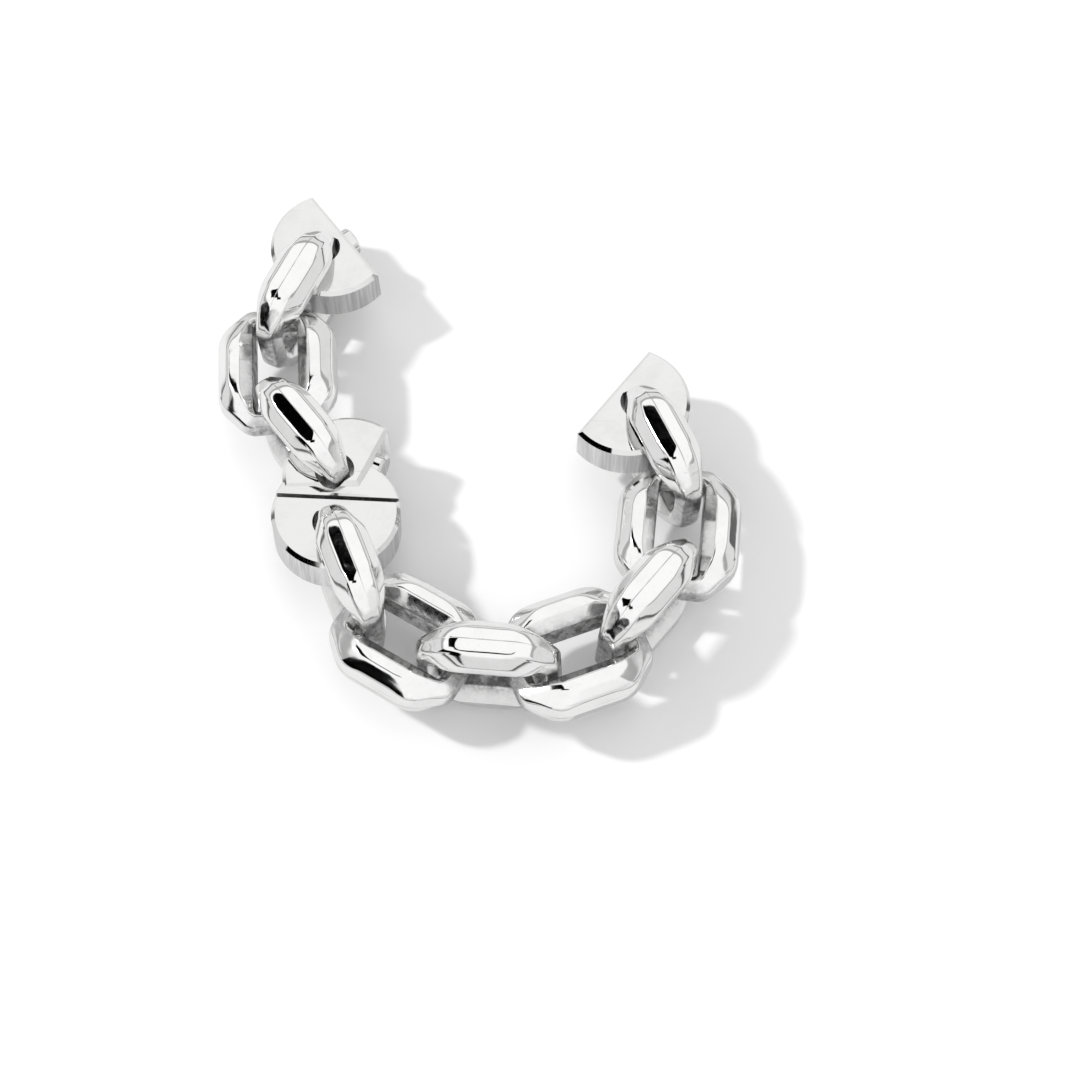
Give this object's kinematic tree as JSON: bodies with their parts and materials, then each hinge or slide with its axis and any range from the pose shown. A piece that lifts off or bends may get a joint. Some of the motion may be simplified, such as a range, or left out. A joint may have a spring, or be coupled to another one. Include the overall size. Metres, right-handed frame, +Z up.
{
  "type": "ear weight",
  "caption": "Heavy polished silver chain ear weight in two joined lengths, links on edge and flat by turns, with half-round end plates",
  "frame": {"origin": "on the surface the chain lies on, below the middle of its box", "axes": "+Z up from the surface; +X to the right and +Y away from the viewer, as the picture shows it"},
  "size_m": [0.042, 0.0465, 0.01],
  "materials": {
    "polished_silver": "mirror-polished silver with fine handling scratches, darker and rougher inside the links' openings"
  },
  "bodies": {
    "root": {"ear_plate_upper": "polished_silver", "link_upper_1": "polished_silver", "link_upper_2": "polished_silver", "link_upper_3": "polished_silver", "middle_plate_upper": "polished_silver", "middle_plate_lower": "polished_silver", "link_lower_1": "polished_silver", "link_lower_2": "polished_silver", "link_lower_3": "polished_silver", "link_lower_4": "polished_silver", "link_lower_5": "polished_silver", "link_lower_6": "polished_silver", "link_lower_7": "polished_silver", "ear_plate_lower": "polished_silver"}
  },
  "joints": []
}
